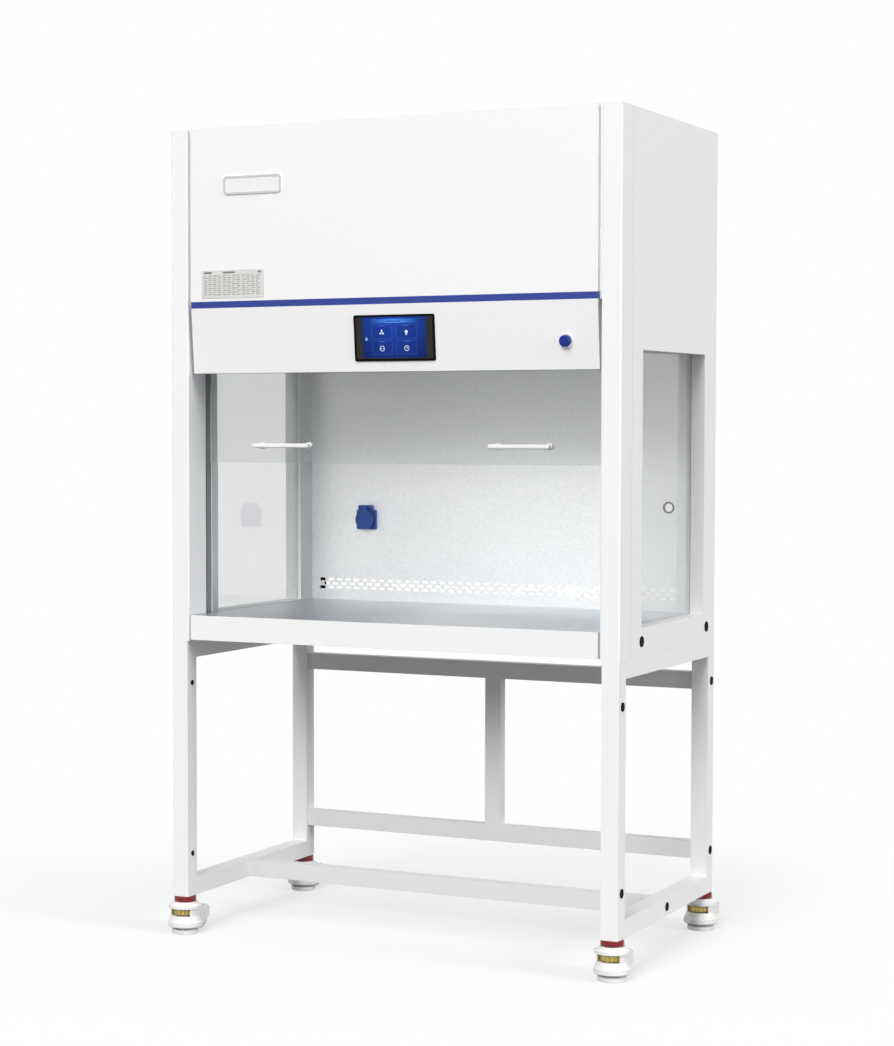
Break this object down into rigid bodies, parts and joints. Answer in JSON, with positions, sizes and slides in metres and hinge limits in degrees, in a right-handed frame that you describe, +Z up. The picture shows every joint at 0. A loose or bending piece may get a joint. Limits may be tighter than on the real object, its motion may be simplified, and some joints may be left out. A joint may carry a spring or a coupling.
{
  "type": "vertical laminar flow cabinet",
  "caption": "Free-standing laboratory airflow cabinet with a counterbalanced glass sash, side windows, touch panel and a tube stand on levelling casters.",
  "frame": {"origin": "on the floor, in the middle of the whole outline", "axes": "+X right seen from the front, +Y to the back, +Z up"},
  "size_m": [1.14, 0.707, 1.858],
  "materials": {
    "anodised_plate": "satin",
    "black_plastic": "matte",
    "black_rubber": "matte",
    "blue_enamel": "gloss",
    "blue_plastic": "satin",
    "blue_socket_plastic": "satin",
    "brass_thumbwheel": "satin",
    "brushed_stainless": "satin",
    "cast_weight": "matte",
    "display_glass": "gloss",
    "filter_fleece": "matte",
    "galvanised_sheet": "satin",
    "grey_foot_rubber": "matte",
    "grey_guide_plastic": "matte",
    "lamp_plastic": "gloss",
    "motor_casting": "matte",
    "nylon_wheel": "satin",
    "polished_steel": "gloss",
    "red_collar": "satin",
    "steel_wire": "satin",
    "white_caster_plastic": "satin",
    "white_enamel_plate": "gloss",
    "white_plastic": "satin",
    "white_powder_coat": "satin",
    "window_glass": "gloss",
    "zinc_plated_steel": "satin"
  },
  "bodies": {
    "root": {"back_wall": "white_powder_coat", "badge_plate": "white_enamel_plate", "base_pan": "white_powder_coat", "blower_housing": "galvanised_sheet", "blower_motor": "motor_casting", "blue_stripe": "blue_enamel", "button_bezel": "polished_steel", "cable_grommet": "black_rubber", "caster_collars": "red_collar", "ceiling_diffuser": "white_powder_coat", "chamber_lamps": "lamp_plastic", "control_hood": "white_powder_coat", "data_plate": "anodised_plate", "frame_bolts": "zinc_plated_steel", "front_upper_panel": "white_powder_coat", "hepa_filter": "filter_fleece", "hole_plugs": "black_plastic", "lower_cross_rail": "white_powder_coat", "mains_inlet": "black_plastic", "post_front_left": "white_powder_coat", "post_front_right": "white_powder_coat", "prefilter": "filter_fleece", "rear_cover": "white_powder_coat", "rear_frame": "white_powder_coat", "sash_guides": "grey_guide_plastic", "sash_wires": "steel_wire", "side_wall_left": "white_powder_coat", "side_wall_right": "white_powder_coat", "side_windows": "window_glass", "socket_body": "blue_socket_plastic", "stand_side_frame_left": "white_powder_coat", "stand_side_frame_right": "white_powder_coat", "top_cover": "white_powder_coat", "touch_display": "display_glass", "touch_panel_bezel": "black_plastic", "weight_wires": "steel_wire", "worktop": "brushed_stainless"},
    "button_cap": {"button_cap": "blue_plastic"},
    "sash": {"sash_glass": "window_glass", "sash_fittings": "white_plastic"},
    "counterweights": {"counterweights": "cast_weight"},
    "pulleys": {"sash_pulleys": "zinc_plated_steel"},
    "impeller": {"blower_impeller": "galvanised_sheet"},
    "socket_lid": {"socket_lid": "blue_socket_plastic"},
    "swivel_front_left": {"caster_housing_front_left": "white_caster_plastic"},
    "wheel_front_left": {"caster_wheel_front_left": "nylon_wheel"},
    "thumbwheel_front_left": {"caster_thumbwheel_front_left": "brass_thumbwheel"},
    "foot_front_left": {"caster_foot_front_left": "grey_foot_rubber"},
    "swivel_front_right": {"caster_housing_front_right": "white_caster_plastic"},
    "wheel_front_right": {"caster_wheel_front_right": "nylon_wheel"},
    "thumbwheel_front_right": {"caster_thumbwheel_front_right": "brass_thumbwheel"},
    "foot_front_right": {"caster_foot_front_right": "grey_foot_rubber"},
    "swivel_rear_left": {"caster_housing_rear_left": "white_caster_plastic"},
    "wheel_rear_left": {"caster_wheel_rear_left": "nylon_wheel"},
    "thumbwheel_rear_left": {"caster_thumbwheel_rear_left": "brass_thumbwheel"},
    "foot_rear_left": {"caster_foot_rear_left": "grey_foot_rubber"},
    "swivel_rear_right": {"caster_housing_rear_right": "white_caster_plastic"},
    "wheel_rear_right": {"caster_wheel_rear_right": "nylon_wheel"},
    "thumbwheel_rear_right": {"caster_thumbwheel_rear_right": "brass_thumbwheel"},
    "foot_rear_right": {"caster_foot_rear_right": "grey_foot_rubber"}
  },
  "joints": [
    {"name": "button_press", "type": "slide", "parent": "root", "child": "button_cap", "axis": [0, 0.9956, 0.0942], "range_m": [0, 0.003], "stiffness_N_per_m": 600},
    {"name": "sash_slide", "type": "slide", "parent": "root", "child": "sash", "axis": [0, 0, 1], "range_m": [-0.35, 0.125], "deforming": ["sash_wires"]},
    {"name": "counterweight_slide", "type": "slide", "parent": "root", "child": "counterweights", "axis": [0, 0, 1], "range_m": [-0.125, 0.35], "deforming": ["weight_wires"]},
    {"name": "pulley_turn", "type": "hinge", "parent": "root", "child": "pulleys", "pos_m": [0, -0.2745, 1.825], "axis": [1, 0, 0], "range_deg": [-840, 300]},
    {"name": "impeller_spin", "type": "hinge", "parent": "root", "child": "impeller", "pos_m": [0, 0.022, 1.641], "axis": [1, 0, 0], "continuous": true},
    {"name": "socket_lid_hinge", "type": "hinge", "parent": "root", "child": "socket_lid", "pos_m": [-0.348, 0.2605, 0.979], "axis": [-1, 0, 0], "range_deg": [0, 100], "stiffness_Nm_per_rad": 0.02},
    {"name": "swivel_turn_front_left", "type": "hinge", "parent": "root", "child": "swivel_front_left", "pos_m": [-0.53, -0.3135, 0.06], "axis": [0, 0, 1], "continuous": true},
    {"name": "wheel_roll_front_left", "type": "hinge", "parent": "swivel_front_left", "child": "wheel_front_left", "pos_m": [-0.53, -0.2565, 0.027], "axis": [1, 0, 0], "continuous": true},
    {"name": "foot_lift_front_left", "type": "slide", "parent": "swivel_front_left", "child": "foot_front_left", "axis": [0, 0, 1], "range_m": [-0.006, 0.01]},
    {"name": "thumbwheel_turn_front_left", "type": "hinge", "parent": "swivel_front_left", "child": "thumbwheel_front_left", "pos_m": [-0.53, -0.3135, 0.0505], "axis": [0, 0, 1], "range_deg": [-730, 1210]},
    {"name": "swivel_turn_front_right", "type": "hinge", "parent": "root", "child": "swivel_front_right", "pos_m": [0.53, -0.3135, 0.06], "axis": [0, 0, 1], "continuous": true},
    {"name": "wheel_roll_front_right", "type": "hinge", "parent": "swivel_front_right", "child": "wheel_front_right", "pos_m": [0.53, -0.2565, 0.027], "axis": [1, 0, 0], "continuous": true},
    {"name": "foot_lift_front_right", "type": "slide", "parent": "swivel_front_right", "child": "foot_front_right", "axis": [0, 0, 1], "range_m": [-0.006, 0.01]},
    {"name": "thumbwheel_turn_front_right", "type": "hinge", "parent": "swivel_front_right", "child": "thumbwheel_front_right", "pos_m": [0.53, -0.3135, 0.0505], "axis": [0, 0, 1], "range_deg": [-730, 1210]},
    {"name": "swivel_turn_rear_left", "type": "hinge", "parent": "root", "child": "swivel_rear_left", "pos_m": [-0.53, 0.2715, 0.06], "axis": [0, 0, 1], "continuous": true},
    {"name": "wheel_roll_rear_left", "type": "hinge", "parent": "swivel_rear_left", "child": "wheel_rear_left", "pos_m": [-0.53, 0.3285, 0.027], "axis": [1, 0, 0], "continuous": true},
    {"name": "foot_lift_rear_left", "type": "slide", "parent": "swivel_rear_left", "child": "foot_rear_left", "axis": [0, 0, 1], "range_m": [-0.006, 0.01]},
    {"name": "thumbwheel_turn_rear_left", "type": "hinge", "parent": "swivel_rear_left", "child": "thumbwheel_rear_left", "pos_m": [-0.53, 0.2715, 0.0505], "axis": [0, 0, 1], "range_deg": [-730, 1210]},
    {"name": "swivel_turn_rear_right", "type": "hinge", "parent": "root", "child": "swivel_rear_right", "pos_m": [0.53, 0.2715, 0.06], "axis": [0, 0, 1], "continuous": true},
    {"name": "wheel_roll_rear_right", "type": "hinge", "parent": "swivel_rear_right", "child": "wheel_rear_right", "pos_m": [0.53, 0.3285, 0.027], "axis": [1, 0, 0], "continuous": true},
    {"name": "foot_lift_rear_right", "type": "slide", "parent": "swivel_rear_right", "child": "foot_rear_right", "axis": [0, 0, 1], "range_m": [-0.006, 0.01]},
    {"name": "thumbwheel_turn_rear_right", "type": "hinge", "parent": "swivel_rear_right", "child": "thumbwheel_rear_right", "pos_m": [0.53, 0.2715, 0.0505], "axis": [0, 0, 1], "range_deg": [-730, 1210]}
  ],
  "couplings": [
    {"joint": "counterweight_slide", "follows": "sash_slide", "ratio": -1},
    {"joint": "pulley_turn", "follows": "sash_slide", "rad_per_m": 41.667},
    {"joint": "thumbwheel_turn_front_left", "follows": "foot_lift_front_left", "rad_per_m": 2094.4},
    {"joint": "thumbwheel_turn_front_right", "follows": "foot_lift_front_right", "rad_per_m": 2094.4},
    {"joint": "thumbwheel_turn_rear_left", "follows": "foot_lift_rear_left", "rad_per_m": 2094.4},
    {"joint": "thumbwheel_turn_rear_right", "follows": "foot_lift_rear_right", "rad_per_m": 2094.4}
  ]
}
